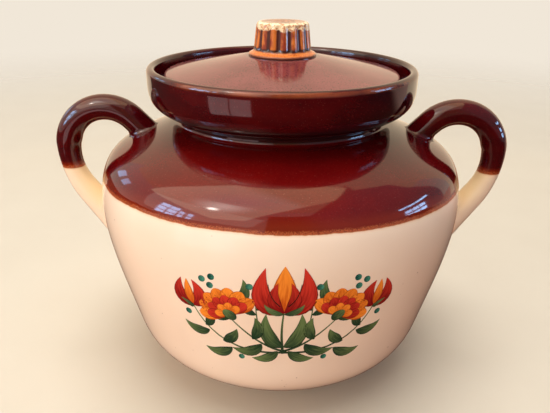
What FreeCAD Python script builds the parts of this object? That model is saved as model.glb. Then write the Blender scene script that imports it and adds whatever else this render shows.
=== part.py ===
import FreeCAD, Part
import math
import os

# Stoneware bean pot with two ear handles and a lift-off lid, in millimetres.
# +Z is up, the pot's turning axis is Z and the foot stands on Z = 0.
# The handles lie in the X-Z plane, one on +X and one on -X.
# Turned pieces are half sections in that plane, swept once round the axis.

Vector = FreeCAD.Vector
Z_AXIS = Vector(0, 0, 1)
ORIGIN = Vector(0, 0, 0)

# ---- driving dimensions: the pot's outside, from the foot up ----
foot_radius = 62.0
foot_ring_width = 8.0
foot_recess = 1.5
foot_slope = 42.0            # degrees from level, where the wall leaves the foot
heel_radius = 90.5
heel_height = 34.0
heel_slope = 75.0            # degrees from level, where the heel runs into the side
belly_radius = 106.0
belly_height = 105.0
shoulder_radius = 66.0       # where the shoulder ends and the neck's hollow begins
shoulder_height = 147.6
shoulder_slope = 25.0        # degrees from level at that point
waist_radius = 60.0          # narrowest part of the neck
waist_rise = 3.9             # from the shoulder's end up to the waist
collar_foot_radius = 67.0    # where the neck's hollow ends under the collar
collar_foot_rise = 4.0       # from the waist up to that point
collar_radius = 76.6
collar_height = 24.7         # from under the collar to the top of its lip

# ---- driving dimensions: clay thicknesses and the lid's seat ----
wall = 6.0
floor = 7.0
throat_wall = 5.5
lip_thickness = 5.0
seat_depth = 15.0            # from the lip down to the ledge that carries the lid
edge_round = 1.5             # softened inner corners of the ledge and the foot

# ---- driving dimensions: handles ----
handle_thickness = 15.0      # seen from the front
handle_width = 16.5          # across that
handle_projection = 28.9     # how far it stands out past the belly
handle_rise = 13.8           # how far its top stands above the shoulder's end
arch_radius = 23.2           # centreline of the finger arch
arch_root_angle = 45.0       # degrees from level, where the arch runs into the shoulder
flank_radius = 50.0          # centreline of the gentle bend below the arch
flank_angle = 35.0           # degrees from plumb, where it heads for the belly
root_depth = 24.0            # how far inside the belly the handle's core is cut off
root_fillet = 4.0            # clay smoothed round each root

# ---- driving dimensions: lid ----
lid_gap = 4.5                # all round, between the lid's edge and the collar
lid_edge = 9.0               # height of the edge, from the ledge to where it rounds over
lid_round = 2.5
lid_rise = 8.5               # from the rounded edge up to the knob's seat
lid_slope = 11.0             # degrees from level, all the way up the top
lid_thickness = 6.0
flange_gap = 3.0             # all round, between the locating ring and the throat
flange_depth = 8.0           # how far the ring reaches down past the ledge
flange_wall = 5.0

# ---- driving dimensions: knob ----
knob_foot_radius = 19.3
knob_foot_height = 1.0       # upright edge of the flared foot
knob_flare_height = 2.6
knob_base_radius = 16.2      # over the ribs, just above the flare
knob_top_radius = 14.9       # over the ribs, where the top rounds over
knob_height = 18.6
knob_round = 1.8
knob_dish = 0.8              # hollow in the top
flute_count = 16
flute_radius = 1.6
flute_depth = 1.1
flute_start = 1.2            # above the flare
flute_end = 2.6              # below the top

# ---- places that follow from them ----
waist_height = shoulder_height + waist_rise
collar_foot_height = waist_height + collar_foot_rise
rim_height = collar_foot_height + collar_height
collar_inner_radius = collar_radius - lip_thickness
ledge_height = rim_height - seat_depth
throat_radius = waist_radius - throat_wall
floor_height = foot_recess + floor
lid_radius = collar_inner_radius - lid_gap
lid_edge_height = ledge_height + lid_edge
knob_seat_height = lid_edge_height + lid_round + lid_rise
flange_radius = throat_radius - flange_gap
handle_reach = belly_radius + handle_projection
handle_top = shoulder_height + handle_rise

# How far each curve holds on to its end directions, as a share of its length.
SLIGHT_PULL = 0.28
EVEN_PULL = 0.38
FULL_PULL = 0.46
SWELLING_PULL = 0.53


def point(radius, height):
    """A point of a half section."""
    return Vector(radius, 0, height)


def heading(degrees):
    """A direction in the half section: 0 is outward and level, 90 is up."""
    angle = math.radians(degrees)
    return Vector(math.cos(angle), 0, math.sin(angle))


def line(start, end):
    return Part.makeLine(start, end)


def curve(start, start_heading, end, end_heading, pull):
    """A smooth curve that leaves and arrives in the given directions."""
    reach = start.distanceToPoint(end) * pull
    bezier = Part.BezierCurve()
    leaving = start + heading(start_heading) * reach
    arriving = end - heading(end_heading) * reach
    bezier.setPoles([start, leaving, arriving, end])
    return bezier.toShape()


def arc(centre, radius, start_degrees, end_degrees):
    """A round arc about centre, run from its start angle to its end angle."""
    middle_degrees = (start_degrees + end_degrees) / 2
    places = [centre + heading(a) * radius for a in (start_degrees, middle_degrees, end_degrees)]
    return Part.Arc(*places).toShape()


def turned(edges):
    """The solid that a closed half section sweeps round the Z axis."""
    face = Part.Face(Part.Wire(edges))
    return face.revolve(ORIGIN, Z_AXIS, 360)


def side_curves(inset, base, start_slope):
    """Wall from its base up to the end of the shoulder, inset from the outside by a thickness."""
    heel = point(heel_radius, heel_height) + heading(heel_slope + 90) * inset
    belly = point(belly_radius - inset, belly_height)
    shoulder = point(shoulder_radius, shoulder_height) - heading(90 - shoulder_slope) * inset
    return [
        curve(base, start_slope, heel, heel_slope, FULL_PULL),
        curve(heel, heel_slope, belly, 90, SLIGHT_PULL),
        curve(belly, 90, shoulder, 180 - shoulder_slope, SWELLING_PULL),
    ]


# ---- pot body: foot, belly, shoulder, neck and collar in one casting ----
def outside_curves():
    """Outer skin from the edge of the foot to the outer side of the lip."""
    foot = point(foot_radius, 0)
    shoulder = point(shoulder_radius, shoulder_height)
    waist = point(waist_radius, waist_height)
    collar_foot = point(collar_foot_radius, collar_foot_height)
    lip_radius = lip_thickness / 2
    collar_side = point(collar_radius, rim_height - lip_radius)
    return side_curves(0, foot, foot_slope) + [
        curve(shoulder, 180 - shoulder_slope, waist, 90, FULL_PULL),
        curve(waist, 90, collar_foot, shoulder_slope, FULL_PULL),
        curve(collar_foot, shoulder_slope, collar_side, 90, FULL_PULL),
    ]


def pot_body_section():
    """Closed half section of the hollow pot."""
    recess_radius = foot_radius - foot_ring_width
    lip_radius = lip_thickness / 2
    lip_centre = point(collar_radius - lip_radius, rim_height - lip_radius)
    collar_inside = point(collar_inner_radius, rim_height - lip_radius)
    ledge_outer = point(collar_inner_radius, ledge_height)
    ledge_inner = point(throat_radius + edge_round, ledge_height)
    throat_centre = point(throat_radius + edge_round, ledge_height - edge_round)
    throat_top = point(throat_radius, ledge_height - edge_round)
    throat_foot = point(throat_radius, waist_height)
    floor_edge = point(foot_radius - wall, floor_height)
    inside = side_curves(wall, floor_edge, 0)
    shoulder_inside = inside[-1].Vertexes[-1].Point
    return outside_curves() + [
        arc(lip_centre, lip_radius, 0, 180),
        line(collar_inside, ledge_outer),
        line(ledge_outer, ledge_inner),
        arc(throat_centre, edge_round, 90, 180),
        line(throat_top, throat_foot),
        curve(throat_foot, -90, shoulder_inside, -shoulder_slope, FULL_PULL),
    ] + inside[::-1] + [
        line(floor_edge, point(0, floor_height)),
        line(point(0, floor_height), point(0, foot_recess)),
        line(point(0, foot_recess), point(recess_radius, foot_recess)),
        line(point(recess_radius, foot_recess), point(recess_radius + foot_recess, 0)),
        line(point(recess_radius + foot_recess, 0), point(foot_radius, 0)),
    ]


def make_pot_body():
    return turned(pot_body_section())


def make_pot_core():
    """The pot as if it were solid, with its seam turned away from the handles that it cuts back."""
    rim = point(collar_radius, rim_height - lip_thickness / 2)
    closing = [
        line(rim, point(0, rim.z)),
        line(point(0, rim.z), ORIGIN),
        line(ORIGIN, point(foot_radius, 0)),
    ]
    core = turned(outside_curves() + closing)
    core.rotate(ORIGIN, Z_AXIS, 90)
    return core


# ---- handles: one rod of clay each, luted on at the shoulder and the belly ----
def handle_path():
    """Centreline: up out of the shoulder, over the arch and down into the belly."""
    half = handle_thickness / 2
    arch_centre = point(handle_reach - half - arch_radius, handle_top - half - arch_radius)
    arch_start = 90 + arch_root_angle
    flank_centre = arch_centre + heading(0) * (arch_radius - flank_radius)
    upper_joint = arch_centre + heading(arch_start) * arch_radius
    lower_joint = flank_centre + heading(-flank_angle) * flank_radius
    upper_end = upper_joint - heading(arch_root_angle) * root_depth
    inner_radius = belly_radius - root_depth
    lower_run = (lower_joint.x - inner_radius) / math.sin(math.radians(flank_angle))
    lower_end = lower_joint + heading(-90 - flank_angle) * lower_run
    return [
        line(upper_end, upper_joint),
        arc(arch_centre, arch_radius, arch_start, 0),
        arc(flank_centre, flank_radius, 0, -flank_angle),
        line(lower_joint, lower_end),
    ]


def make_handle(core):
    """Handle on the +X side, its roots smoothed into the pot and cut face to face with it."""
    path = handle_path()
    start = path[0].Vertexes[0].Point
    across = handle_width / 2
    along = handle_thickness / 2
    oval = Part.Ellipse(
        start + Vector(0, across, 0),
        start + heading(arch_root_angle + 90) * along,
        start,
    )
    section = Part.Wire([oval.toShape()])
    rod = Part.Wire(path).makePipeShell([section], True, False)
    joined = core.fuse(rod)
    roots = [edge for edge in joined.Edges if is_root(edge, core)]
    smoothed = joined.makeFillet(root_fillet, roots)
    return smoothed.cut(core)


def is_root(edge, core):
    """Whether an edge is the seam of the handle with the pot."""
    middle = edge.valueAt((edge.FirstParameter + edge.LastParameter) / 2)
    skin_distance = Part.Vertex(middle).distToShape(core.Shells[0])[0]
    beside_handle = middle.x > shoulder_radius and abs(middle.y) < handle_width
    return beside_handle and skin_distance < 0.01


# ---- lid: shallow cone with a rounded edge and a locating ring beneath ----
def make_lid():
    top_round = lid_radius - lid_round
    edge_top = point(top_round, lid_edge_height + lid_round)
    side_top = point(lid_radius, lid_edge_height)
    side_foot = point(lid_radius, ledge_height + edge_round)
    foot_corner = point(lid_radius - edge_round, ledge_height)
    seat_edge = point(knob_foot_radius + edge_round, knob_seat_height)
    flange_foot_height = ledge_height - flange_depth
    flange_inner_radius = flange_radius - flange_wall
    hollow_height = lid_edge_height + lid_round - lid_thickness
    hollow_top_height = knob_seat_height - lid_thickness
    section = [
        line(point(0, knob_seat_height), seat_edge),
        curve(seat_edge, -lid_slope, edge_top, -lid_slope, EVEN_PULL),
        curve(edge_top, -lid_slope, side_top, -90, FULL_PULL),
        line(side_top, side_foot),
        line(side_foot, foot_corner),
        line(foot_corner, point(flange_radius, ledge_height)),
        line(point(flange_radius, ledge_height), point(flange_radius, flange_foot_height + edge_round)),
        line(
            point(flange_radius, flange_foot_height + edge_round),
            point(flange_radius - edge_round, flange_foot_height),
        ),
        line(
            point(flange_radius - edge_round, flange_foot_height),
            point(flange_inner_radius, flange_foot_height),
        ),
        line(point(flange_inner_radius, flange_foot_height), point(flange_inner_radius, hollow_height)),
        curve(
            point(flange_inner_radius, hollow_height), 180 - lid_slope,
            point(0, hollow_top_height), 180, EVEN_PULL,
        ),
        line(point(0, hollow_top_height), point(0, knob_seat_height)),
    ]
    return turned(section)


# ---- knob: fluted button on a flared foot, luted to the middle of the lid, a rib facing front ----
def make_flute():
    """One groove cutter, on the +X side, that follows the knob's taper."""
    start_height = knob_seat_height + knob_foot_height + knob_flare_height + flute_start
    end_height = knob_seat_height + knob_height - flute_end
    cutter_reach = flute_radius - flute_depth
    foot = point(knob_base_radius + cutter_reach, start_height)
    head = point(knob_top_radius + cutter_reach, end_height)
    run = head - foot
    groove = Part.makeCylinder(flute_radius, run.Length, foot, run)
    lower_end = Part.makeSphere(flute_radius, foot)
    upper_end = Part.makeSphere(flute_radius, head)
    return groove.fuse([lower_end, upper_end])


def make_lid_knob():
    top_height = knob_seat_height + knob_height
    foot_edge_height = knob_seat_height + knob_foot_height
    flare_height = foot_edge_height + knob_flare_height
    top_edge = point(knob_top_radius - knob_round, top_height)
    section = [
        line(point(0, knob_seat_height), point(knob_foot_radius, knob_seat_height)),
        line(point(knob_foot_radius, knob_seat_height), point(knob_foot_radius, foot_edge_height)),
        curve(
            point(knob_foot_radius, foot_edge_height), 120,
            point(knob_base_radius, flare_height), 100, EVEN_PULL,
        ),
        line(point(knob_base_radius, flare_height), point(knob_top_radius, top_height - knob_round)),
        curve(point(knob_top_radius, top_height - knob_round), 95, top_edge, 180, FULL_PULL),
        curve(top_edge, 180, point(0, top_height - knob_dish), 180, EVEN_PULL),
        line(point(0, top_height - knob_dish), point(0, knob_seat_height)),
    ]
    knob = turned(section)
    cutter = make_flute()
    for number in range(flute_count):
        groove = cutter.copy()
        groove.rotate(ORIGIN, Z_AXIS, (number + 0.5) * 360 / flute_count)
        knob = knob.cut(groove)
    return knob


def save(name, shape):
    shape.exportStep("parts/" + name + ".step")
    print(name, "valid", shape.isValid(), "solids", len(shape.Solids), "volume", round(shape.Volume))


os.makedirs("parts", exist_ok=True)
pot_core = make_pot_core()
handle = make_handle(pot_core)
mirrored_handle = handle.copy()
mirrored_handle.rotate(ORIGIN, Z_AXIS, 180)
save("pot_body", make_pot_body())
save("handle_right", handle)
save("handle_left", mirrored_handle)
save("lid", make_lid())
save("lid_knob", make_lid_knob())
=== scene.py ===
# %% [markdown]
# # A stoneware bean pot, dressed in its glazes
#
# The pot is fired clay: a round belly, two ear handles, a deep collar and a loose lid with a
# fluted knob. The solids come in as a fixed frame, with the clay's true sizes. Each one gets a
# smooth piece of the same shape here, because a glossy glaze shows every flat facet, and then
# the glazes and the painted flowers go on, as they do in a pottery.

# %% The frame, and the sizes that it gives
import math
import random
import bmesh
import bpy
from mathutils import Matrix, Vector
from mathutils.bvhtree import BVHTree
from mathutils.geometry import interpolate_bezier


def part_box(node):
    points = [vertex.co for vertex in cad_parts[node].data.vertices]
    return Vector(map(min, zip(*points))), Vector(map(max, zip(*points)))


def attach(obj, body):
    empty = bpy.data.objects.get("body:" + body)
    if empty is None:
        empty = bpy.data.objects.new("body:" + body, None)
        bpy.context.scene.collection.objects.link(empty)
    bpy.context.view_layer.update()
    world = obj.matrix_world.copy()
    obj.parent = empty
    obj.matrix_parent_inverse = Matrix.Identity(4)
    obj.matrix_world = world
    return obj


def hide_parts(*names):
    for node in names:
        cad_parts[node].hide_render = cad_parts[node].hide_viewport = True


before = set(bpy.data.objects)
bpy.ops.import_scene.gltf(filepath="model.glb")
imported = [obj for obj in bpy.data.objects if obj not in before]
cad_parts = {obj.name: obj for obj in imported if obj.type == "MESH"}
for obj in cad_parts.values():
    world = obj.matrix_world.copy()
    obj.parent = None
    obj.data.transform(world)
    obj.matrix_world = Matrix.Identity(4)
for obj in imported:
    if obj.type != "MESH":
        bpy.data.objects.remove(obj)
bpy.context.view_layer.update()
MM = 0.001
ORIGIN, Y_AXIS, Z_AXIS = Vector((0, 0, 0)), Vector((0, 1, 0)), Vector((0, 0, 1))
pot_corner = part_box("pot_body")[1] / MM
lid_foot_corner, lid_corner = (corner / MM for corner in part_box("lid"))
knob_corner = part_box("lid_knob")[1] / MM
handle_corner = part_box("handle_right")[1] / MM


# %% [markdown]
# ## The camera
# It looks down on the pot from the front, near enough for the lip to show as a wide oval. Its
# place is in millimetres from the middle of the foot. Its turn is built up from three plain
# turns, because each of them can be checked by eye: tilt down, a little to the left, and a
# slight roll.

# %% Camera
camera_place = Vector((0, -360, 240.7))
camera_tilt = 22.44
camera_turn = 0.49
camera_roll = 0.73
focal_length = 40.75
camera_data = bpy.data.cameras.new("camera")
camera_data.lens = focal_length
camera = bpy.data.objects.new("camera", camera_data)
camera.matrix_world = (
    Matrix.Translation(camera_place * MM)
    @ Matrix.Rotation(math.radians(camera_turn), 4, "Z")
    @ Matrix.Rotation(math.radians(90 - camera_tilt), 4, "X")
    @ Matrix.Rotation(math.radians(camera_roll), 4, "Z")
)
bpy.context.collection.objects.link(camera)
bpy.context.scene.camera = camera
bpy.context.scene.view_settings.view_transform = "Standard"
print("camera looks along", [round(c, 3) for c in camera.matrix_world.col[2][:3]])


# %% [markdown]
# ## Arithmetic for finishes
# A glaze is a sum of small rules: dark above the dip line, rusty where it runs thin, freckled
# all over. Linking dozens of Math nodes by hand hides those rules. So one small class wraps a
# node's output, and ordinary arithmetic on it adds the nodes. A second class holds the recipe
# of one finish, and has the one method that makes any other node.

# %% Signals and recipes
class Signal:
    """The output of a node, which takes part in arithmetic."""

    def __init__(self, recipe, socket):
        self.recipe = recipe
        self.socket = socket

    def math(self, operation, *values):
        """Adds one step of arithmetic."""
        inputs = dict(enumerate(values))
        return self.recipe.add("Math", {"operation": operation}, inputs)

    def __add__(self, other):
        return self.math("ADD", self, other)

    def __sub__(self, other):
        return self.math("SUBTRACT", self, other)

    def __rsub__(self, other):
        return self.math("SUBTRACT", other, self)

    def __mul__(self, other):
        return self.math("MULTIPLY", self, other)

    def __pow__(self, other):
        return self.math("POWER", self, other)

    __radd__ = __add__
    __rmul__ = __mul__

    def rise(self, low, high):
        """0 up to low, 1 from high on, and smooth between."""
        inputs = {"Value": self, "From Min": low, "From Max": high}
        return self.recipe.add("MapRange", {"interpolation_type": "SMOOTHSTEP"}, inputs)


class Recipe:
    """The nodes of one finish."""

    def __init__(self, name):
        self.material = bpy.data.materials.new(name)
        self.material.use_nodes = True
        self.tree = self.material.node_tree
        self.shader = self.tree.nodes["Principled BSDF"]
        self.place = self.add("TexCoord", {}, {}, "Object")

    def add(self, kind, settings, inputs, output=0):
        """Makes a node, first its settings and then what its sockets take."""
        node = self.tree.nodes.new("ShaderNode" + kind)
        for setting, value in settings.items():
            setattr(node, setting, value)
        for socket, value in inputs.items():
            self.feed(node.inputs[socket], value)
        return Signal(self, node.outputs[output])

    def feed(self, socket, value):
        """Links a signal to a socket, or sets it to a plain value."""
        if isinstance(value, Signal):
            self.tree.links.new(value.socket, socket)
        else:
            socket.default_value = value

    def mix(self, amount, first, second):
        """first where amount is 0 and second where it is 1, as colours."""
        inputs = {"Factor": amount, 6: first, 7: second}
        return self.add("Mix", {"data_type": "RGBA"}, inputs, 2)

    def mottle(self, grain, detail=2, stretch=(1, 1, 1)):
        """Cloudy noise of about 0 to 1, whose patches are grain millimetres across."""
        size = 1 / (grain * MM)
        scale = [size * share for share in stretch]
        place = self.add("VectorMath", {"operation": "MULTIPLY"}, {0: self.place, 1: scale})
        return self.add("TexNoise", {}, {"Vector": place, "Scale": 1, "Detail": detail})

    def finish(self, colour, roughness, relief=None):
        """Feeds the shader: colour, roughness, and relief in millimetres."""
        self.feed(self.shader.inputs["Base Color"], colour)
        self.feed(self.shader.inputs["Roughness"], roughness)
        if relief is not None:
            bump = self.add("Bump", {}, {"Height": relief, "Distance": MM})
            self.feed(self.shader.inputs["Normal"], bump)
        print("finish", self.material.name, len(self.tree.nodes), "nodes")
        return self.material


def parts_of(recipe):
    """The three coordinates of the surface in millimetres."""
    axes = recipe.add("SeparateXYZ", {}, {0: recipe.place})
    return [Signal(recipe, axes.socket.node.outputs[axis]) * (1 / MM) for axis in "XYZ"]


def from_axis(x, y):
    """Distance from the pot's axis, in the unit of x and y."""
    return (x * x + y * y) ** 0.5


def paint(red, green, blue):
    """A colour as it looks on a screen, 0 to 255, in the values that a shader takes."""
    shares = [part / 255 for part in (red, green, blue)]
    linear = [s / 12.92 if s <= 0.04045 else ((s + 0.055) / 1.055) ** 2.4 for s in shares]
    return (*linear, 1)


print("middle grey is", round(paint(128, 128, 128)[0], 3), "of white")


# %% [markdown]
# ## Floor and room
# A glossy glaze is a mirror, so what stands round the pot matters as much as the lamps. The
# camera sees a pale floor that fades out into a pale room. The glaze sees faintly glowing
# sheets instead: a brown table that is lighter behind the pot and to its right, a warm ceiling,
# a pale wall, two white cards low on the left, and a dark screen with a dark canopy on the
# right. The bright sheets give the lid and the shoulder their broad sheen. The dark ones keep
# the maroon of the collar and the handles deep. The floor throws a browner light back onto the
# clay than the camera sees of it, as a wooden table would.

# %% Floor, which fades out into the room
def stage_piece(name, shape, material):
    """Adds a piece of the stage from a bmesh."""
    mesh = bpy.data.meshes.new(name)
    shape.to_mesh(mesh)
    shape.free()
    mesh.materials.append(material)
    piece = bpy.data.objects.new(name, mesh)
    bpy.context.collection.objects.link(piece)
    return piece


def disc(radius, level):
    """A level round sheet about the pot's axis, in metres."""
    shape = bmesh.new()
    bmesh.ops.create_circle(shape, cap_ends=True, segments=96, radius=radius)
    bmesh.ops.translate(shape, vec=Z_AXIS * level, verts=shape.verts)
    return shape


floor_radius, fade_start, fade_end = 6, 0.45, 1.4
floor_recipe = Recipe("pale_floor")
floor_clouds = floor_recipe.mottle(60, 3)
floor_colour = floor_recipe.mix(floor_clouds, paint(197, 189, 175), paint(203, 196, 182))
seen = floor_recipe.add("LightPath", {}, {}, "Is Camera Ray")
to_right = parts_of(floor_recipe)[0].rise(-200, 160)
thrown_back = floor_recipe.mix(to_right, paint(218, 180, 150), paint(158, 110, 76))
floor_colour = floor_recipe.mix(seen, thrown_back, floor_colour)
floor_recipe.shader.inputs["Specular IOR Level"].default_value = 0.25
floor_material = floor_recipe.finish(floor_colour, 0.55)
far = floor_recipe.add("VectorMath", {"operation": "LENGTH"}, {0: floor_recipe.place}, "Value")
open_end = floor_recipe.add("BsdfTransparent", {}, {})
near_shader = Signal(floor_recipe, floor_recipe.shader.outputs[0])
inputs = {0: far.rise(fade_start, fade_end) * seen, 1: near_shader, 2: open_end}
fading = floor_recipe.add("MixShader", {}, inputs)
floor_recipe.feed(floor_recipe.tree.nodes["Material Output"].inputs["Surface"], fading)
floor = stage_piece("floor", disc(floor_radius, 0), floor_material)
floor.visible_glossy = False
print("floor", floor_radius * 2, "m across")

# %% Sheets that hang or lie about the pot
def bearing(azimuth, height):
    """The way out from the pot, in degrees: azimuth 0 is the front and 90 the right."""
    turn, lift = math.radians(azimuth), math.radians(height)
    level = math.cos(lift)
    return Vector((math.sin(turn) * level, -math.cos(turn) * level, math.sin(lift)))


def sheet(left, right, front, back, level):
    """A level rectangle, in metres."""
    shape = bmesh.new()
    corners = bmesh.ops.create_grid(shape, x_segments=2, y_segments=2, size=0.5)["verts"]
    bmesh.ops.scale(shape, vec=(right - left, back - front, 1), verts=corners)
    middle = Vector(((left + right) / 2, (front + back) / 2, level))
    bmesh.ops.translate(shape, vec=middle, verts=corners)
    return shape


def glowing(name, shape, recipe, colour, strength):
    """A stage piece that only reflections see, and that shines by itself."""
    recipe.feed(recipe.shader.inputs["Emission Color"], colour)
    recipe.shader.inputs["Emission Strength"].default_value = strength
    piece = stage_piece(name, shape, recipe.finish((0, 0, 0, 1), 0.9))
    piece.visible_camera = piece.visible_diffuse = piece.visible_shadow = False
    return piece


table_glow, card_glow, ceiling_glow, high_glow, wall_glow, cloth_glow = 1, 2.2, 3.2, 2, 1.2, 1.4
table_recipe = Recipe("brown_table")
table_grain = table_recipe.mottle(30, 3, (0.1, 1, 1))
table_colour = table_recipe.mix(table_grain, paint(52, 24, 16), paint(76, 36, 22))
x, y, z = parts_of(table_recipe)
behind = y.rise(80, 300) * x.rise(-500, -220)
table_colour = table_recipe.mix(behind, table_colour, paint(178, 106, 64))
far_right = x.rise(250, 480) * y.rise(60, 240)
table_colour = table_recipe.mix(far_right, table_colour, paint(228, 182, 166))
glowing("brown_table", disc(floor_radius, -0.001), table_recipe, table_colour, table_glow)


def upright(start, end, distance, low, high):
    """A sheet on a round arc about the pot's axis, between two azimuths and two levels."""
    shape = bmesh.new()
    foot = bearing(start, 0) * distance
    corners = [shape.verts.new(foot + Z_AXIS * level) for level in (low, high)]
    bmesh.ops.spin(
        shape, geom=corners + [shape.edges.new(corners)], cent=ORIGIN, axis=Z_AXIS,
        angle=math.radians(end - start), steps=24,
    )
    return shape


card_recipe = Recipe("white_card")
card_colour = card_recipe.mix(card_recipe.mottle(50, 3), paint(252, 224, 222), paint(206, 176, 178))
for number, (start, end, top) in enumerate(((-55, -39, 0.114), (-38, -22, 0.108))):
    card = upright(start, end, 0.4, 0.004, top)
    glowing(f"white_card_{number}", card, card_recipe, card_colour, card_glow)

ceiling_shape = sheet(-2.4, 0.64, -2.6, 0.55, 1.8)
bmesh.ops.bisect_plane(
    ceiling_shape, geom=ceiling_shape.verts[:] + ceiling_shape.edges[:] + ceiling_shape.faces[:],
    plane_co=(0, -1.07, 0), plane_no=(0.83, -0.56, 0), clear_outer=True,
)
ceiling_recipe = Recipe("bright_ceiling")
x, y, z = parts_of(ceiling_recipe)
bright_end = (-0.87 * x - 0.5 * y).rise(-120, 140)
ceiling_colour = ceiling_recipe.mix(bright_end, paint(228, 194, 154), paint(248, 226, 196))
glowing("bright_ceiling", ceiling_shape, ceiling_recipe, ceiling_colour, ceiling_glow)

wall_recipe = Recipe("pale_wall")
wall_clouds = wall_recipe.mottle(200, 2)
wall_colour = wall_recipe.mix(wall_clouds, paint(250, 224, 190), paint(240, 212, 178))
glowing("high_ceiling", sheet(-3, 3, -1.6, 3, 2.6), wall_recipe, wall_colour, high_glow)
back_wall = upright(118, 229, 0.55, 0.015, 1.2)
glowing("back_wall", back_wall, wall_recipe, wall_colour, wall_glow)

# %% Dark screen round the right, and a dark canopy over it
screen_recipe = Recipe("dark_cloth")
cloth_folds = screen_recipe.mottle(200, 2)
cloth_colour = screen_recipe.mix(cloth_folds, paint(124, 126, 134), paint(112, 114, 120))
far_right = parts_of(screen_recipe)[0].rise(300, 1000)
cloth_colour = screen_recipe.mix(far_right, paint(112, 104, 78), cloth_colour)
for name, shape in (
    ("dark_screen", upright(-8, 114, 1.8, 0, 2)),
    ("dark_canopy", sheet(0.68, 2.2, -1.8, 0.95, 2)),
):
    glowing(name, shape, screen_recipe, cloth_colour, cloth_glow).visible_diffuse = True

# %% Room
room = bpy.data.worlds.new("room")
room.use_nodes = True
bpy.context.scene.world = room
background = room.node_tree.nodes["Background"]
background.inputs["Color"].default_value = paint(241, 231, 216)
background.inputs["Strength"].default_value = 1
print("room light", background.inputs["Strength"].default_value)


# %% [markdown]
# ## Lamps
# A glaze shows each lamp as a bright patch, and the cream shows it as soft shading, and the two
# rarely suit each other. So three soft boxes light the colours alone, from the left, the front
# and straight above. The glaze mirrors others: a wide box on the left, narrow blue panes that
# stand in for windows, and round patches of light that fade outwards.

# %% Lamps
clean_white = (1, 0.97, 0.93)
warm_white = (1, 0.93, 0.82)
window_blue = (0.32, 0.6, 1)
box_distance, shine_distance, pane_distance, glow_distance = 1.6, 1.7, 1.4, 1.35
glow_falloff = 2.2
aim = Z_AXIS * pot_corner.z * 0.6 * MM


def lamp(name, azimuth, height, distance, width, tall, power, colour):
    """A soft oval box that faces the pot from a bearing."""
    data = bpy.data.lights.new(name, "AREA")
    data.shape = "ELLIPSE"
    data.size = width
    data.size_y = tall
    data.energy = power
    data.color = colour
    box = bpy.data.objects.new(name, data)
    away = bearing(azimuth, height)
    box.location = away * distance + aim
    box.rotation_euler = away.to_track_quat("Z", "Y").to_euler()
    box.visible_camera = False
    bpy.context.collection.objects.link(box)
    return box


for name, azimuth, height, width, tall, power in (
    ("light_left", -57, 4, 1.9, 1.2, 9.2), ("light_front", -5, 9, 1.4, 1, 6),
    ("light_above", 0, 88, 1.2, 1.2, 24),
):
    soft_box = lamp(name, azimuth, height, box_distance, width, tall, power, clean_white)
    soft_box.visible_glossy = False
left_box = lamp("shine_left", -53, 28, shine_distance, 2.4, 1, 7.5, warm_white)
left_box.visible_diffuse = False
left_box.data.shape = "RECTANGLE"
panes = [(azimuth, height, 0.15, 0.14, 0.9) for azimuth in (-74, -66.5) for height in (11, 18, 25)]
panes += [(azimuth, height, 0.08, 0.13, 0.4) for azimuth in (-60, -54) for height in (14, 21)]
panes += [(azimuth, 17, 0.15, 0.24, 0.36) for azimuth in (-124, -114)]
panes += [(azimuth, height, 0.13, 0.1, 0.6) for azimuth in (80, 86, 92) for height in (4, 10)]
panes += [(azimuth, 18, 0.15, 0.06, 0.42) for azimuth in (78, 85, 92, 98)]
for number, (azimuth, height, *measures) in enumerate(panes):
    pane = lamp(f"pane_{number}", azimuth, height, pane_distance, *measures, window_blue)
    pane.data.shape = "RECTANGLE"
    pane.visible_diffuse = False


def glow(name, azimuth, height, reach, strength):
    """A round patch of light in the glaze that fades out at reach metres from its middle."""
    shape = bmesh.new()
    bmesh.ops.create_circle(shape, cap_ends=True, segments=48, radius=reach)
    away = bearing(azimuth, height)
    facing = away.to_track_quat("Z", "Y").to_matrix()
    bmesh.ops.rotate(shape, cent=ORIGIN, matrix=facing, verts=shape.verts)
    middle = away * glow_distance + aim
    bmesh.ops.translate(shape, vec=middle, verts=shape.verts)
    recipe = Recipe(name)
    inputs = {0: recipe.place, 1: middle}
    offset = recipe.add("VectorMath", {"operation": "DISTANCE"}, inputs, "Value") * (1 / reach)
    glossy = recipe.add("LightPath", {}, {}, "Is Glossy Ray")
    fade = glossy * (1 - offset.rise(0, 1)) ** glow_falloff
    lit = recipe.add("Emission", {}, {"Color": (*warm_white, 1), "Strength": strength})
    clear = recipe.add("BsdfTransparent", {}, {})
    sheer = recipe.add("MixShader", {}, {0: fade, 1: clear, 2: lit})
    recipe.feed(recipe.tree.nodes["Material Output"].inputs["Surface"], sheer)
    patch = stage_piece(name, shape, recipe.material)
    patch.visible_camera = patch.visible_diffuse = patch.visible_shadow = False


glow("glow_centre", -50, 55, 0.62, 7)
glow("glow_above", -55, 70, 0.8, 2.4)
glow("glow_spot", -50, 46, 0.14, 40)


# %% [markdown]
# ## Outlines
# The pot, the lid and the knob were turned on a wheel or cast from turned models, so each is
# one half section swept round the axis. A section is drawn from smooth curves that leave and
# arrive in given directions, which is how a potter's template is drawn, with a few round arcs
# at the edges.

# %% Curves of a half section
SLIGHT_PULL, EVEN_PULL, FULL_PULL, SWELLING_PULL = 0.28, 0.38, 0.46, 0.53


def point(radius, height):
    """A point of a half section, in millimetres."""
    return Vector((radius, 0, height))


def heading(degrees):
    """A direction in the half section: 0 is outward and level, 90 is up."""
    angle = math.radians(degrees)
    return Vector((math.cos(angle), 0, math.sin(angle)))


def curve(start, start_heading, end, end_heading, pull, steps=12):
    """Points on a smooth curve that leaves and arrives in the given directions."""
    reach = (end - start).length * pull
    leaving = start + heading(start_heading) * reach
    arriving = end - heading(end_heading) * reach
    return interpolate_bezier(start, leaving, arriving, end, steps + 1)


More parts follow.
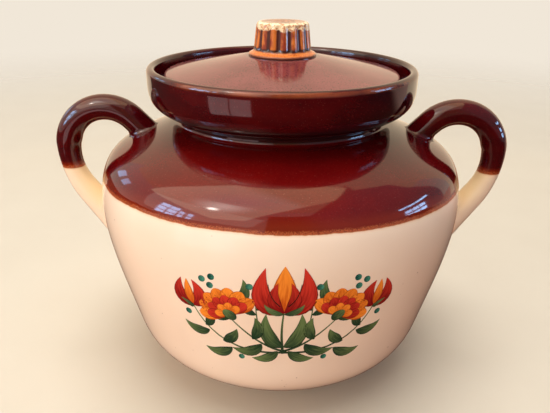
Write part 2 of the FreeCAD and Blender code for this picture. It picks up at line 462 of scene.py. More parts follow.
def arc(centre, radius, start_degrees, end_degrees, steps=8):
    """Points on a round arc about centre."""
    turn = end_degrees - start_degrees
    return [centre + heading(start_degrees + turn * s / steps) * radius for s in range(steps + 1)]


print("an arc of 10 mm ends", [round(c, 1) for c in arc(point(0, 0), 10, 0, 90)[-1]])


# %% [markdown]
# ## Turning
# Spin is the wheel: it sweeps the half section once round the axis. Each part of the section
# that has its own finish is spun by itself and the seams are merged afterwards, so the finishes
# meet on a clean ring. Points on the axis fall together in the same merge, which closes the
# poles.

# %% Turning a section into a piece
SMOOTH_LIMIT = math.radians(35)


def finished(name, shape, body, node, materials):
    """Makes the piece of a bmesh, lets it ride on its body and stand for its node."""
    mesh = bpy.data.meshes.new(name)
    shape.to_mesh(mesh)
    shape.free()
    for material in materials:
        mesh.materials.append(material)
    mesh.shade_smooth()
    mesh.set_sharp_from_angle(angle=SMOOTH_LIMIT)
    piece = bpy.data.objects.new(name, mesh)
    bpy.context.collection.objects.link(piece)
    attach(piece, body)
    if node:
        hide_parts(node)
    print(name, len(mesh.polygons), "faces, mm", [round(s / MM, 1) for s in piece.dimensions])


def turned(sections, steps=192):
    """A closed bmesh from (outline, slot number) pairs that join end to end."""
    shape = bmesh.new()
    for outline, slot_number in sections:
        corners = [shape.verts.new(place * MM) for place in outline]
        edges = [shape.edges.new(pair) for pair in zip(corners, corners[1:])]
        old = set(shape.faces)
        bmesh.ops.spin(
            shape, geom=corners + edges, cent=ORIGIN, axis=Z_AXIS,
            angle=math.tau, steps=steps, use_merge=True,
        )
        for face in set(shape.faces) - old:
            face.material_index = slot_number
    bmesh.ops.remove_doubles(shape, verts=shape.verts, dist=0.01 * MM)
    bmesh.ops.recalc_face_normals(shape, faces=shape.faces)
    return shape


print("edges sharper than", round(math.degrees(SMOOTH_LIMIT)), "degrees stay crisp")


# %% [markdown]
# ## Brown glaze
# The dark glaze is an iron-rich brown, nearly oxblood where it lies thick. It isn't even:
# it clouds, it carries rusty freckles, pale dust and dark specks, and its surface is faintly
# wavy, so reflections wobble a little. Noise at several grain sizes gives that, from broad
# clouds down to specks under a millimetre. How dark it goes is left to the piece that asks:
# thick glaze darkens it, and on the pot painted shade darkens it too.

# %% Brown glaze, for every piece that has it
oxblood = paint(106, 8, 5)
deep_brown = paint(40, 0, 7)
rust = paint(140, 44, 34)
burnt_orange = paint(172, 86, 46)
dust_pink = paint(176, 116, 104)
near_black = paint(24, 6, 8)
cream = paint(246, 231, 215)
dust_share, speck_share = 0.12, 0.2


def brown_glaze(recipe, depth_and_shade, freckles=0.06):
    """Colour of the dark glaze with specks, darker where it lies thick, and on the pot also where
    shade is painted in.
    """
    clouds = recipe.mottle(26, 4, (1, 1, 2.5)).rise(0.3, 0.7)
    colour = recipe.mix(0.8 * depth_and_shade + 0.2 * clouds, oxblood, deep_brown)
    fine = recipe.mottle(1.1, 3).rise(0.5, 0.68)
    faint = freckles * (1.3 - depth_and_shade)
    colour = recipe.mix(fine * faint, colour, rust)
    dust = recipe.mottle(0.7, 1).rise(0.66, 0.76)
    colour = recipe.mix(dust * dust_share, colour, dust_pink)
    dark = recipe.mottle(0.9, 1).rise(0.56, 0.72)
    return recipe.mix(dark * speck_share, colour, near_black)


def glaze_waves(recipe):
    """Relief of a fired glaze in millimetres: long soft waves and a little fine peel."""
    return 0.04 * recipe.mottle(24, 2) + 0.004 * recipe.mottle(2.5, 2)


print("brown glaze, dust", dust_share, "specks", speck_share)


# %% [markdown]
# ## The two-tone dip
# The whole pot is glazed cream, and then it is held upside down and dipped in the brown. Where
# the brown ends it is thin: the cream shines through, and a mottled orange band a few
# millimetres wide runs round the belly, with a darker edge above it where the thick glaze
# starts. The dip wasn't quite level, so the line stands higher at the front. Above the band the
# brown is painted darker towards the collar, in the collar's shade, and towards both sides:
# painted shade. In the fold under the collar it goes near black, painted shade over glaze that
# pools there. On the lip's front edge it wore thin, to orange. The band depends on one number,
# the height above the dip line, so that is worked out first.

# %% Height above the dip line
dip_height = 118
dip_front_rise = 2.8
dip_right_fall = 0.7
belly_radius = pot_corner.x


def above_dip(recipe, x, y, z):
    """Millimetres above the dip line, which is tilted and a little wavy."""
    line = dip_height - y * (dip_front_rise / belly_radius) - x * (dip_right_fall / belly_radius)
    waver = 1.6 * recipe.mottle(24, 1) + 0.8 * recipe.mottle(3.5, 2) - 1.2
    return z - line + waver


print("dip line", dip_height, "mm up,", dip_front_rise, "more in front")

# %% Dipped glaze: cream below, orange band, brown above
def cream_glaze(recipe):
    """Colour of the pale glaze: warm clouds and a rare iron speck."""
    colour = recipe.mix(recipe.mottle(45, 2).rise(0.3, 0.7), cream, paint(242, 225, 208))
    speck = recipe.mottle(1.6, 0).rise(0.86, 0.9)
    return recipe.mix(speck * 0.6, colour, paint(110, 84, 62))


def dipped(recipe, height, band, fade, pale, brown):
    """Colour above the dip line, with an orange band and a darker edge that fades, in mm."""
    grain = recipe.mottle(0.55, 3)
    thin = recipe.mix(grain.rise(0.38, 0.66), burnt_orange, paint(120, 52, 34))
    thin = recipe.mix(height.rise(0, band * 0.4), paint(192, 120, 72), thin)
    colour = recipe.mix(height.rise(-1.2, 0.1) * 0.35, pale, paint(226, 176, 128))
    colour = recipe.mix(height.rise(-0.1, 0.35), colour, thin)
    ragged = height + 2.4 * grain
    edge = recipe.mix(ragged.rise(band + 1.4, band + fade), paint(114, 28, 7), brown)
    return recipe.mix(ragged.rise(band + 0.2, band + 1.5), colour, edge)


def dip_step(height, band):
    """Relief of the glaze's edges in millimetres: thin at the line, full above the band."""
    return 0.05 * height.rise(-0.2, 0.4) + 0.12 * height.rise(band - 0.6, band + 1.4)


pot_recipe = Recipe("dipped_glaze")
x, y, z = parts_of(pot_recipe)
height = above_dip(pot_recipe, x, y, z)
dip_band, dip_fade = 2.1, 8
lip_thin = from_axis(x, y).rise(75, 76) * z.rise(176.8, 178.4) * (1 - z.rise(179.2, 179.8))
in_front = 0.5 * (-1 * y).rise(20, 70) + 0.5
lip_thin = lip_thin * pot_recipe.mottle(26, 3).rise(0.4, 0.6) * in_front
# Painted shade: the brown is made darker towards the collar, in its shade, and towards both sides.
collar_and_side_shade = 0.45 * z.rise(130, 152) + 0.33 * z.rise(152, 156)
collar_and_side_shade = collar_and_side_shade + 0.6 * x.rise(0, 90) + 0.55 * (-1 * x).rise(40, 100)
pot_brown = pot_recipe.mix(lip_thin * 0.5, brown_glaze(pot_recipe, collar_and_side_shade), burnt_orange)
# Painted shade: the fold under the collar goes near black, where the collar shades it and the glaze
# pools.
neck_shade_and_pool = z.rise(149.6, 151.4) * (1 - z.rise(158, 163))
pot_brown = pot_recipe.mix(neck_shade_and_pool * 0.85, pot_brown, near_black)
pot_colour = dipped(pot_recipe, height, dip_band, dip_fade, cream_glaze(pot_recipe), pot_brown)
pot_relief = glaze_waves(pot_recipe) + dip_step(height, dip_band)
pot_glaze = pot_recipe.finish(pot_colour, 0.07, pot_relief)

# %% Lining glaze and bare clay
lining_recipe = Recipe("lining_glaze")
lining_brown = brown_glaze(lining_recipe, 0.8)
lining_glaze = lining_recipe.finish(lining_brown, 0.09, glaze_waves(lining_recipe))
clay_recipe = Recipe("bare_clay")
clay_tone = clay_recipe.mix(clay_recipe.mottle(5, 3), paint(214, 196, 168), paint(196, 172, 140))
clay_speck = clay_recipe.mottle(0.7, 1).rise(0.68, 0.74)
clay_colour = clay_recipe.mix(clay_speck * 0.7, clay_tone, paint(120, 90, 66))
bare_clay = clay_recipe.finish(clay_colour, 0.75, 0.05 * clay_recipe.mottle(0.9, 3))


# %% [markdown]
# ## The pot
# Foot, heel, belly, shoulder, neck and collar are one casting, so they are one section: up the
# outside, over the lip, and down the inside past the ledge that carries the lid. The glaze is
# wiped off the foot before firing, or the pot would stick to the shelf, so the underside is
# bare clay.

# %% Pot outline
foot_radius, heel_radius, heel_height, belly_height = 62, 90.5, 34, 105
shoulder_radius, shoulder_height, shoulder_slope = 66, 147.6, 25
foot_slope, heel_slope = 42, 75
waist_radius, waist_height = 60, 151.5
collar_foot_radius, collar_foot_height, collar_radius = 67, 155.5, 76.6
wall, floor_height, foot_recess, foot_ring_width = 6, 8.5, 1.5, 8
throat_radius, lip_thickness, seat_depth, edge_round = 54.5, 5, 15, 1.5
rim_height = pot_corner.z
ledge_height = rim_height - seat_depth
lip_radius = lip_thickness / 2
lip_centre = point(collar_radius - lip_radius, rim_height - lip_radius)
lip_side = point(collar_radius, rim_height - lip_radius)


def side(inset, base, start_slope):
    """Wall from its base to the end of the shoulder, inset from the outside."""
    heel = point(heel_radius, heel_height) + heading(heel_slope + 90) * inset
    belly = point(belly_radius - inset, belly_height)
    shoulder = point(shoulder_radius, shoulder_height) - heading(90 - shoulder_slope) * inset
    return (
        curve(base, start_slope, heel, heel_slope, FULL_PULL)
        + curve(heel, heel_slope, belly, 90, SLIGHT_PULL, 18)[1:]
        + curve(belly, 90, shoulder, 180 - shoulder_slope, SWELLING_PULL, 26)[1:]
    )


shoulder_end = point(shoulder_radius, shoulder_height)
waist = point(waist_radius, waist_height)
collar_foot = point(collar_foot_radius, collar_foot_height)
belly_side = side(0, point(foot_radius, 0), foot_slope)
outside = (
    belly_side
    + curve(shoulder_end, 180 - shoulder_slope, waist, 90, FULL_PULL, 8)[1:]
    + curve(waist, 90, collar_foot, shoulder_slope, FULL_PULL, 8)[1:]
    + curve(collar_foot, shoulder_slope, lip_side, 90, FULL_PULL, 16)[1:]
    + arc(lip_centre, lip_radius, 0, 180, 10)[1:]
)
collar_wall = collar_radius - lip_thickness
ledge_corner = point(collar_wall - edge_round, ledge_height + edge_round)
throat_corner = point(throat_radius + edge_round, ledge_height - edge_round)
inside = side(wall, point(foot_radius - wall, floor_height), 0)[::-1]
lining = (
    [outside[-1]]
    + arc(ledge_corner, edge_round, 0, -90, 4)
    + arc(throat_corner, edge_round, 90, 180, 4)
    + curve(point(throat_radius, waist_height), -90, inside[0], -shoulder_slope, FULL_PULL, 6)
    + inside[1:]
    + [point(0, floor_height)]
)
ring_radius = foot_radius - foot_ring_width
underside = [
    point(0, foot_recess), point(ring_radius, foot_recess),
    point(ring_radius + foot_recess, 0), point(foot_radius, 0),
]
print("outline points", len(outside), "outside and", len(lining), "inside")

# %% Turn the pot
pot_shape = turned([(underside, 2), (outside, 0), (lining, 1)])
pot_skin = BVHTree.FromBMesh(pot_shape)
finished("pot", pot_shape, "pot", "pot_body", [pot_glaze, lining_glaze, bare_clay])


# %% [markdown]
# ## Handles
# Each handle is a rolled rod of clay, oval in section, bent over a finger arch and pressed
# onto the pot at the shoulder and the belly. The arch and the gentle bend below it are two
# spins of one oval. At both ends every corner of the oval then runs straight on until it nears
# the pot and flares out onto its skin, as smoothed clay does, so the join has no hard crease.
# The cream inside the bend is painted yellower, a painted warm light thrown back onto it from
# below.

# %% Handle sizes
handle_thickness, handle_width = 15, 16.5
arch_radius, arch_start, flank_radius, flank_angle = 23.2, 135, 50, 35
slim_depth, slim_place, slim_reach = 2.3, 16, 30
slim_even, slim_inner, slim_sides = 0.25, 0.5, 0.7
root_round, root_sunk, root_share, root_pull = 3, 0.3, 0.85, 0.6
arch_inset = handle_thickness / 2 + arch_radius
arch_centre = point(handle_corner.x - arch_inset, handle_corner.z - arch_inset)
flank_centre = arch_centre + heading(0) * (arch_radius - flank_radius)
print("finger arch", 2 * arch_radius - handle_thickness, "mm across")


def lane(corner, middle, onward):
    """Points from a corner of an end oval along onward, then out onto the pot's skin."""
    hit, normal, _, reach = pot_skin.ray_cast(corner, onward)
    out = corner - middle
    away = (out - normal * out.dot(normal)).normalized()
    opening = away.angle(-onward)
    flare = min(root_round * MM / math.tan(opening / 2), reach * root_share)
    start = hit - onward * flare
    landing, landing_normal, _, _ = pot_skin.find_nearest(hit + away * flare)
    landing -= landing_normal * root_sunk * MM
    straight = [corner.lerp(start, step / 4) for step in range(1, 4)]
    leaving, arriving = start.lerp(hit, root_pull), landing.lerp(hit, root_pull)
    return straight + interpolate_bezier(start, leaving, arriving, landing, 9)


def run_on(shape, ring, onward):
    """Extends an end oval onto the pot, one extruded ring after another, and closes it."""
    middle = sum((corner.co for corner in ring), Vector()) / len(ring)
    lanes = {corner: lane(corner.co.copy(), middle, onward) for corner in ring}
    edges = [e for e in shape.edges if all(v in lanes for v in e.verts)]
    for step in range(len(next(iter(lanes.values())))):
        made = bmesh.ops.extrude_edge_only(shape, edges=edges)["geom"]
        corners = [part for part in made if isinstance(part, bmesh.types.BMVert)]
        drawn = [part for part in made if isinstance(part, bmesh.types.BMEdge)]
        edges = [edge for edge in drawn if set(edge.verts) <= set(corners)]
        lanes = {
            corner: next(lanes[v] for e in corner.link_edges for v in e.verts if v in lanes)
            for corner in corners
        }
        for corner in corners:
            corner.co = lanes[corner][step]
    bmesh.ops.contextual_create(shape, geom=edges)


# %% Bend the handles
def slim(corner):
    """Thins the rod, more from inside the bend, where the wet clay was stroked towards its foot."""
    on_arch = corner.co.z / MM > arch_centre.z
    centre, radius = (arch_centre, arch_radius) if on_arch else (flank_centre, flank_radius)
    away = corner.co / MM - centre
    drop = math.degrees(math.atan2(-away.z, away.x))
    beyond = min(abs(drop - slim_place) / slim_reach, 1)
    amount = slim_depth * (0.5 + 0.5 * math.cos(math.pi * beyond))
    reach = away.xz.length
    outward = (reach - radius) / (handle_thickness / 2)
    drawn = (reach + amount * (slim_even - slim_inner * outward)) / reach
    sides = 1 - slim_sides * amount / handle_width
    corner.co = (centre + Vector((away.x * drawn, away.y * sides, away.z * drawn))) * MM


def make_handle(name, node, turn, glaze):
    """One handle on the right, turned about the pot's axis by turn degrees."""
    shape = bmesh.new()
    oval = bmesh.ops.create_circle(shape, segments=48, radius=0.5 * MM)["verts"]
    bmesh.ops.scale(shape, vec=(handle_thickness, handle_width, 1), verts=oval)
    tilt = Matrix.Rotation(math.radians(-arch_start), 3, "Y")
    bmesh.ops.rotate(shape, cent=ORIGIN, matrix=tilt, verts=oval)
    first_place = arch_centre + heading(arch_start) * arch_radius
    bmesh.ops.translate(shape, vec=first_place * MM, verts=oval)
    ring = oval
    for centre, angle, steps in ((arch_centre, arch_start, 36), (flank_centre, flank_angle, 12)):
        geometry = list(ring) + [e for e in shape.edges if all(v in set(ring) for v in e.verts)]
        last = bmesh.ops.spin(
            shape, geom=geometry, cent=centre * MM, axis=Y_AXIS,
            angle=math.radians(angle), steps=steps,
        )["geom_last"]
        ring = [part for part in last if isinstance(part, bmesh.types.BMVert)]
    for corner in shape.verts:
        slim(corner)
    run_on(shape, oval, heading(arch_start + 90))
    run_on(shape, ring, heading(-90 - flank_angle))
    about = Matrix.Rotation(math.radians(turn), 3, "Z")
    bmesh.ops.rotate(shape, cent=ORIGIN, matrix=about, verts=shape.verts)
    bmesh.ops.recalc_face_normals(shape, faces=shape.faces)
    finished(name, shape, "pot", node, [glaze])


handle_recipe = Recipe("handle_glaze")
x, y, z = parts_of(handle_recipe)
handle_dip, handle_band, handle_fade = 117.4, 2.2, 4
handle_height = z - handle_dip + (0.8 * handle_recipe.mottle(6, 2) - 0.4)
handle_brown = brown_glaze(handle_recipe, 0.75, 0.03)
aside = (x * x) ** 0.5 - flank_centre.x
below = z - flank_centre.z
inside_bend = (flank_radius - (aside * aside + below * below) ** 0.5).rise(-5, handle_thickness / 2)
clear_of_pot = from_axis(x, y).rise(belly_radius, belly_radius + 6)
# Painted light: inside the bend, clear of the pot, the cream turns yellower, as warm light thrown
# back from below.
bounce_yellow = paint(244, 210, 142)
painted_bounce = 0.65 * inside_bend * clear_of_pot + 0.05
handle_cream = handle_recipe.mix(painted_bounce, cream_glaze(handle_recipe), bounce_yellow)
handle_colour = dipped(
    handle_recipe, handle_height, handle_band, handle_fade, handle_cream, handle_brown
)
handle_relief = glaze_waves(handle_recipe) + dip_step(handle_height, handle_band)
handle_glaze = handle_recipe.finish(handle_colour, 0.07, handle_relief)
make_handle("right_handle", "handle_right", 0, handle_glaze)
make_handle("left_handle", "handle_left", 180, handle_glaze)


# %% [markdown]
# ## The lid
# The lid is a shallow cone with a rounded edge. It rests on the ledge, and a ring beneath it
# drops into the throat and keeps it from sliding. Its top takes the brown glaze a little
# redder and full of fine dark specks, and paler and more mauve than the pot's brown, which is a
# painted sheen. Round the knob's foot it is painted darker, the knob's shadow over glaze that
# pools there. The flat that rests on the ledge is wiped to bare clay.

# %% Lid outline
lid_radius = lid_corner.x
lid_edge, lid_round, lid_slope, lid_thickness = 9, 2.5, 11, 6
flange_gap, flange_wall = 3, 5
knob_seat_height = lid_corner.z
knob_foot_radius = knob_corner.x
flange_foot_height = lid_foot_corner.z
flange_radius = throat_radius - flange_gap
flange_inner_radius = flange_radius - flange_wall
lid_edge_height = ledge_height + lid_edge
lid_edge_top = point(lid_radius - lid_round, lid_edge_height + lid_round)
lid_side_top = point(lid_radius, lid_edge_height)
knob_ground = point(knob_foot_radius + edge_round, knob_seat_height)
lid_foot_round = point(lid_radius - edge_round, ledge_height + edge_round)
lid_top = (
    [point(0, knob_seat_height)]
    + curve(knob_ground, -lid_slope, lid_edge_top, -lid_slope, EVEN_PULL, 16)
    + curve(lid_edge_top, -lid_slope, lid_side_top, -90, FULL_PULL, 8)[1:]
    + arc(lid_foot_round, edge_round, 0, -90, 4)
)
flange_round = point(flange_radius - edge_round, flange_foot_height + edge_round)
lid_seat = [lid_top[-1], point(flange_radius, ledge_height)]
hollow_edge = point(flange_inner_radius, lid_edge_height + lid_round - lid_thickness)
hollow_top = point(0, knob_seat_height - lid_thickness)
lid_under = (
    [lid_seat[-1]]
    + arc(flange_round, edge_round, 0, -90, 4)
    + [point(flange_inner_radius, flange_foot_height)]
    + curve(hollow_edge, 180 - lid_slope, hollow_top, 180, EVEN_PULL)
)
print("lid", round(2 * lid_radius, 1), "mm across, in a collar of", 2 * collar_wall, "mm")

# %% Lid glaze, and turn the lid
lid_recipe = Recipe("lid_glaze")
x, y, z = parts_of(lid_recipe)
radius = from_axis(x, y)
lid_clouds = lid_recipe.mottle(18, 3).rise(0.35, 0.7)
# Painted sheen: the lid's brown is paler and more mauve than the pot's, a painted sheen over a
# redder glaze.
lid_red_and_sheen = lid_recipe.mix(lid_clouds, paint(124, 58, 59), paint(110, 49, 50))
lid_specks = lid_recipe.mottle(0.8, 2).rise(0.52, 0.68)
lid_colour = lid_recipe.mix(lid_specks * 0.5, lid_red_and_sheen, deep_brown)
# Painted shadow: a ring round the knob's foot is darker, the knob's shadow over glaze that pools
# there.
knob_shadow_and_pool = 1 - radius.rise(knob_foot_radius + 0.4, knob_foot_radius + 2.2)
lid_colour = lid_recipe.mix(knob_shadow_and_pool * 0.6, lid_colour, paint(84, 50, 46))
lid_glaze = lid_recipe.finish(lid_colour, 0.1, glaze_waves(lid_recipe))
lid_shape = turned([(lid_top, 0), (lid_seat, 1), (lid_under, 2)])
finished("lid_cover", lid_shape, "lid", "lid", [lid_glaze, bare_clay, lining_glaze])


# %% [markdown]
# ## The knob
# The knob is a fluted button on a flared foot. Sixteen flutes run up its side and die out under
# the top edge. They could be cut one by one, but a knob that comes out of a mould has soft,
# glaze-rounded ribs, so the turned shape is drawn in along a cosine instead. Its finish follows
# from the shape: glaze runs off the ribs and edges, which turn orange and cream, and pools in
# the flutes, which go nearly black.

# %% Knob outline
knob_foot_height, knob_flare_height, knob_round, knob_dish = 1, 2.6, 2.7, 0.8
knob_base_radius, knob_top_radius = 16.2, 14.9
knob_height = knob_corner.z
flare_height = knob_seat_height + knob_foot_height + knob_flare_height
foot_edge = point(knob_foot_radius, knob_seat_height + knob_foot_height)
side_foot = point(knob_base_radius, flare_height)
side_head = point(knob_top_radius, knob_height - knob_round)
top_edge = point(knob_top_radius - knob_round, knob_height)
knob_outline = (
    [point(0, knob_seat_height), point(knob_foot_radius, knob_seat_height)]
    + curve(foot_edge, 120, side_foot, 100, EVEN_PULL, 8)
    + [side_foot.lerp(side_head, step / 30) for step in range(1, 30)]
    + curve(side_head, 95, top_edge, 180, FULL_PULL, 8)
    + curve(top_edge, 180, point(0, knob_height - knob_dish), 180, EVEN_PULL, 10)[1:]
)
print("knob", round(knob_height - knob_seat_height, 1), "mm high")

# %% Flute the knob
flute_count = 16
flute_depth = 1.15
flute_fade = 1.6
flute_turn = math.radians(13.8)
flute_start = flare_height + 1.2
flute_end = knob_height - 2.6
knob_shape = turned([(knob_outline, 0)], steps=flute_count * 18)
for corner in knob_shape.verts:
    rise = corner.co.z / MM
    beyond = max(flute_start - rise, rise - flute_end, 0) / flute_fade
    if beyond < 1:
        turn = math.atan2(corner.co.y, corner.co.x) - flute_turn
        hollow = (0.5 + 0.5 * math.cos(flute_count * turn)) ** 1.2
        drawn_in = flute_depth * hollow * math.sqrt(1 - beyond**2) * MM
        reach = corner.co.xy.length
        corner.co.xy *= (reach - drawn_in) / reach
print(flute_count, "flutes,", flute_depth, "mm deep")

# %% Knob glaze
knob_recipe = Recipe("knob_glaze")
x, y, z = parts_of(knob_recipe)
radius = from_axis(x, y)
taper = (knob_base_radius - knob_top_radius) / (side_head.z - side_foot.z)
depth_in = knob_base_radius - (z - flare_height) * taper - radius
rib_tone = knob_recipe.mottle(3.4, 3, (1, 1, 0.4)).rise(0.4, 0.62)
rib_colour = knob_recipe.mix(rib_tone, paint(216, 120, 44), paint(150, 54, 26))
colour = knob_recipe.mix(depth_in.rise(0.4, 0.95), rib_colour, paint(74, 22, 16))
crown_grain = knob_recipe.mottle(1.5, 3).rise(0.5, 0.6)
crown_colour = knob_recipe.mix(crown_grain * 0.8, paint(252, 230, 190), paint(190, 104, 50))
crown_ragged = z + 5.5 * knob_recipe.mottle(3, 2)
on_crown = crown_ragged.rise(knob_height - 1.6, knob_height - 0.4)
colour = knob_recipe.mix(on_crown, colour, crown_colour)
top_inner = 1 - radius.rise(knob_top_radius - 3.6, knob_top_radius - 1.8)
on_top = z.rise(knob_height - 1.2, knob_height - 0.9)
top_grain = knob_recipe.mottle(2.4, 3).rise(0.4, 0.65)
top_colour = knob_recipe.mix(top_grain, paint(176, 118, 88), paint(116, 64, 48))
colour = knob_recipe.mix(top_inner * on_top, colour, top_colour)
below_side = 1 - z.rise(flute_start - 0.4, flute_start + 0.6)
colour = knob_recipe.mix(below_side * 0.9, colour, paint(44, 18, 16))
flare_grain = knob_recipe.mottle(0.8, 2).rise(0.45, 0.6)
flare_tone = knob_recipe.mix(flare_grain, paint(224, 124, 48), paint(196, 92, 38))
flare_rim = 1 - z.rise(flare_height - 2.6, flare_height - 1.6)
flare_tone = knob_recipe.mix(flare_rim, flare_tone, paint(112, 60, 44))
colour = knob_recipe.mix(1 - z.rise(flare_height - 0.9, flare_height + 0.1), colour, flare_tone)
# Painted shade: the knob's foot goes near black where it meets the lid, over glaze that pools
# there.
knob_foot_shade_and_pool = 1 - z.rise(knob_seat_height + 0.1, knob_seat_height + 0.7)
colour = knob_recipe.mix(knob_foot_shade_and_pool, colour, near_black)
knob_glaze = knob_recipe.finish(colour, 0.08, glaze_waves(knob_recipe))
finished("knob", knob_shape, "lid", "lid_knob", [knob_glaze])


# %% [markdown]
# ## The painted spray
# A small bunch of flowers is painted on the front of the belly. Folk painters build every
# motif from a few brush strokes: a pointed leaf stroke, a round petal stroke, a comma with a
# fat head, a thin line and a dot. So one function lays down a stroke along a bent way with a
# width that follows its form, and the flowers are lists of strokes. Each stroke is a very thin
# skin that hugs the belly, and keeps its own length and width as a map for its paint.

# %% Brush strokes on the belly
spray_shift, spray_height = 3, 77
paint_thickness, weld = 0.25, 0.002
STROKE_MAPS = ("tint", "along", "beside")


def skin_radius(level):
    """Outer radius of the belly at a height, both in millimetres."""
    below, above = next(pair for pair in zip(belly_side, belly_side[1:]) if pair[1].z >= level)
    return below.lerp(above, (level - below.z) / (above.z - below.z)).x


def on_belly(across, up, proud):
    """The place in metres of a point of the spray, proud of the skin by some millimetres."""
    level = spray_height + up
    skin = skin_radius(level)
    turn = (spray_shift + across) / belly_radius
    out = skin + proud
    return Vector((out * math.sin(turn), -out * math.cos(turn), level)) * MM


FORMS = {
    "leaf": lambda t: math.sin(math.pi * t**0.8) ** 0.9,
    "petal": lambda t: math.sin(math.pi * t**1.7) ** 0.55,
    "comma": lambda t: math.sqrt(min(t / 0.2, 1) * (2 - min(t / 0.2, 1))) * (1 - t) ** 0.8,
    "line": lambda t: 1 - 0.6 * t,
    "dot": lambda t: math.sqrt(max(1 - (2 * t - 1) ** 2, 0)),
}
brush_hand = random.Random(7)


def stroke(shape, form, start, bend, end, width, proud):
    """Adds one stroke to a bmesh: from start to end by way of bend, (across, up) each."""
    start, bend, end = (Vector(place) for place in (start, bend, end))
    patch = bmesh.ops.create_grid(shape, x_segments=14, y_segments=4, size=1)["verts"]
    layers = [shape.verts.layers.float[name] for name in STROKE_MAPS]
    tint = brush_hand.random()
    for corner in patch:
        along = (1 - math.cos(math.pi * (corner.co.x + 1) / 2)) / 2
        beside = corner.co.y
        middle = start.lerp(bend, along).lerp(bend.lerp(end, along), along)
        heading_on = (bend - start).lerp(end - bend, along).normalized()
        half = FORMS[form](along) * width / 2
        place = middle + Vector((-heading_on.y, heading_on.x)) * beside * half
        for layer, value in zip(layers, (tint, along, beside)):
            corner[layer] = value
        corner.co = on_belly(place.x, place.y, proud)


def new_strokes():
    """An empty bmesh that remembers each stroke's tint and its own length and width."""
    shape = bmesh.new()
    for name in STROKE_MAPS:
        shape.verts.layers.float.new(name)
    return shape


def painted(name, shape, material):
    """Makes the strokes of a bmesh one piece: closed skins that reach into the glaze."""
    bmesh.ops.remove_doubles(shape, verts=shape.verts, dist=weld * MM)
    bmesh.ops.recalc_face_normals(shape, faces=shape.faces)
    for face in shape.faces:
        if face.normal.dot(face.calc_center_median().xy.to_3d()) < 0:
            face.normal_flip()
    bmesh.ops.solidify(shape, geom=shape.faces[:], thickness=paint_thickness * MM)
    finished(name, shape, "pot", None, [material])


print("brush forms", sorted(FORMS))


# %% Paint that follows the stroke
def stroke_paint(name, deep, bright, edge):
    """A glossy enamel that lightens along the stroke, with brush hairs and a dark edge."""
    recipe = Recipe(name)
    tint, along, beside = (
        recipe.add("Attribute", {"attribute_name": layer}, {}, "Fac") for layer in STROKE_MAPS
    )
    hairs = recipe.add("CombineXYZ", {}, {0: along * 3, 1: beside * 5, 2: tint * 40})
    streaks = recipe.add("TexNoise", {}, {"Vector": hairs, "Scale": 1, "Detail": 2})
    shade = 0.75 * along + 1.1 * streaks + 0.35 * tint - 0.65
    colour = recipe.mix(shade.rise(0, 1), deep, bright)
    rim = (beside * beside).rise(0.6, 0.95)
    colour = recipe.mix(rim * 0.75, colour, edge)
    return recipe.finish(colour, 0.09, glaze_waves(recipe))


leaf_paint = stroke_paint("leaf_paint", paint(34, 62, 44), paint(104, 130, 82), paint(24, 34, 26))
orange_paint = stroke_paint(
    "orange_paint", paint(190, 74, 18), paint(246, 150, 52), paint(150, 56, 18)
)
red_paint = stroke_paint("red_paint", paint(122, 18, 20), paint(206, 58, 44), paint(84, 12, 14))
teal_paint = stroke_paint("teal_paint", paint(12, 66, 62), paint(74, 150, 130), paint(8, 34, 34))
ink_paint = stroke_paint("ink_paint", paint(22, 24, 20), paint(40, 44, 34), paint(16, 16, 14))

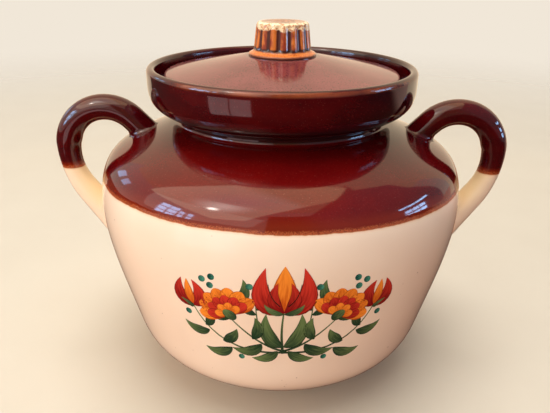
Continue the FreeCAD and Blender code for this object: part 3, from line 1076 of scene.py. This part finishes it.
# %% Lay out the spray: a tulip between two carnations and two buds
greens, oranges, reds, teals, inks = (new_strokes() for _ in range(5))
stroke(greens, "line", (0, -27), (-2, -12), (0, 3), 1.8, 0.05)
for s in (-1, 1):
    stroke(greens, "line", (0, -25), (s * 14, -21), (s * 27, -5), 1.6, 0.05)
    stroke(greens, "line", (0, -26), (s * 38, -29), (s * 48, 0), 1.5, 0.05)
    stroke(greens, "line", (s * 9, -21), (s * 15, -8), (s * 14, 11), 1.1, 0.05)
    for start, bend, end, width in (
        ((0, -22), (12, -17), (9, 1), 8.5), ((12, -20), (17, -30), (29, -25), 7.5),
        ((17, -17), (11, -11), (15, -2), 6.5), ((29, -25), (37, -34), (46, -28), 7),
        ((34, -21), (27, -19), (25, -11), 6.5), ((41, -15), (50, -20), (56, -12), 6.5),
        ((43, -12), (37, -8), (40, 0), 5.5), ((14, 0), (21, 2), (22, 9), 4.5),
        ((14, 3), (8, 7), (9, 14), 4), ((3, -25), (8, -33), (18, -31), 6.5),
        ((28, -4), (38, -5), (42, 5), 6.5), ((24, 6), (17, 12), (20, 21), 5.5),
    ):
        leaf_way = [(s * across, up) for across, up in (start, bend, end)]
        stroke(greens, "leaf", *leaf_way, width, 0.07)
    for dot_x, dot_y in (
        (14, 13), (17, 17), (12, 18), (37, 15), (41, 18), (36, 20), (24, -31), (52, -5)
    ):
        berry_way = [(s * dot_x + across, dot_y) for across in (-1.8, 0, 1.8)]
        stroke(teals, "dot", *berry_way, 3.6, 0.08)
print("green and teal faces", len(greens.faces), len(teals.faces))

# %% Tulip, carnations and buds
stroke(oranges, "leaf", (0, 2), (0, 15), (0, 29), 12, 0.09)
for s in (-1, 1):
    stroke(reds, "leaf", (0, 2), (s * 17, 5), (s * 9, 28), 11, 0.1)
    stroke(reds, "leaf", (0, 2), (s * 9, 8), (s * 3, 20), 6.5, 0.12)
    stroke(greens, "leaf", (0, 1), (s * 7, 1), (s * 10, 7), 3.6, 0.13)
    carnation, opening = Vector((s * 28, -2)), 66 if s > 0 else 114
    for ring, (count, length, width) in enumerate(((7, 17, 8.5), (6, 12.5, 6.5), (4, 8, 5))):
        for number in range(count):
            lean = math.radians(opening + (number - (count - 1) / 2) * 168 / count)
            tip = carnation + Vector((math.cos(lean), math.sin(lean))) * length
            shape = reds if ring == 1 else oranges
            petal_way = (carnation, carnation.lerp(tip, 0.5), tip)
            stroke(shape, "petal", *petal_way, width, 0.09 + 0.015 * ring)
    stroke(greens, "dot", (s * 24.5, -3.5), (s * 28, -2.5), (s * 31, 1), 6, 0.15)
    stroke(reds, "leaf", (s * 48, 0), (s * 39, 6), (s * 47, 16), 8, 0.09)
    stroke(reds, "leaf", (s * 48, 0), (s * 59, 3), (s * 53, 16), 8, 0.1)
    stroke(oranges, "leaf", (s * 48, 1), (s * 50, 8), (s * 50, 16), 5, 0.11)
    stroke(greens, "comma", (s * 48, -1), (s * 52, 2), (s * 55, 3), 3.4, 0.12)
    stroke(inks, "line", (s * 2, 6), (s * 7, 10), (s * 8, 19), 0.6, 0.13)
painted("painted_leaves", greens, leaf_paint)
painted("painted_orange", oranges, orange_paint)
painted("painted_red", reds, red_paint)
painted("painted_berries", teals, teal_paint)
painted("painted_lines", inks, ink_paint)
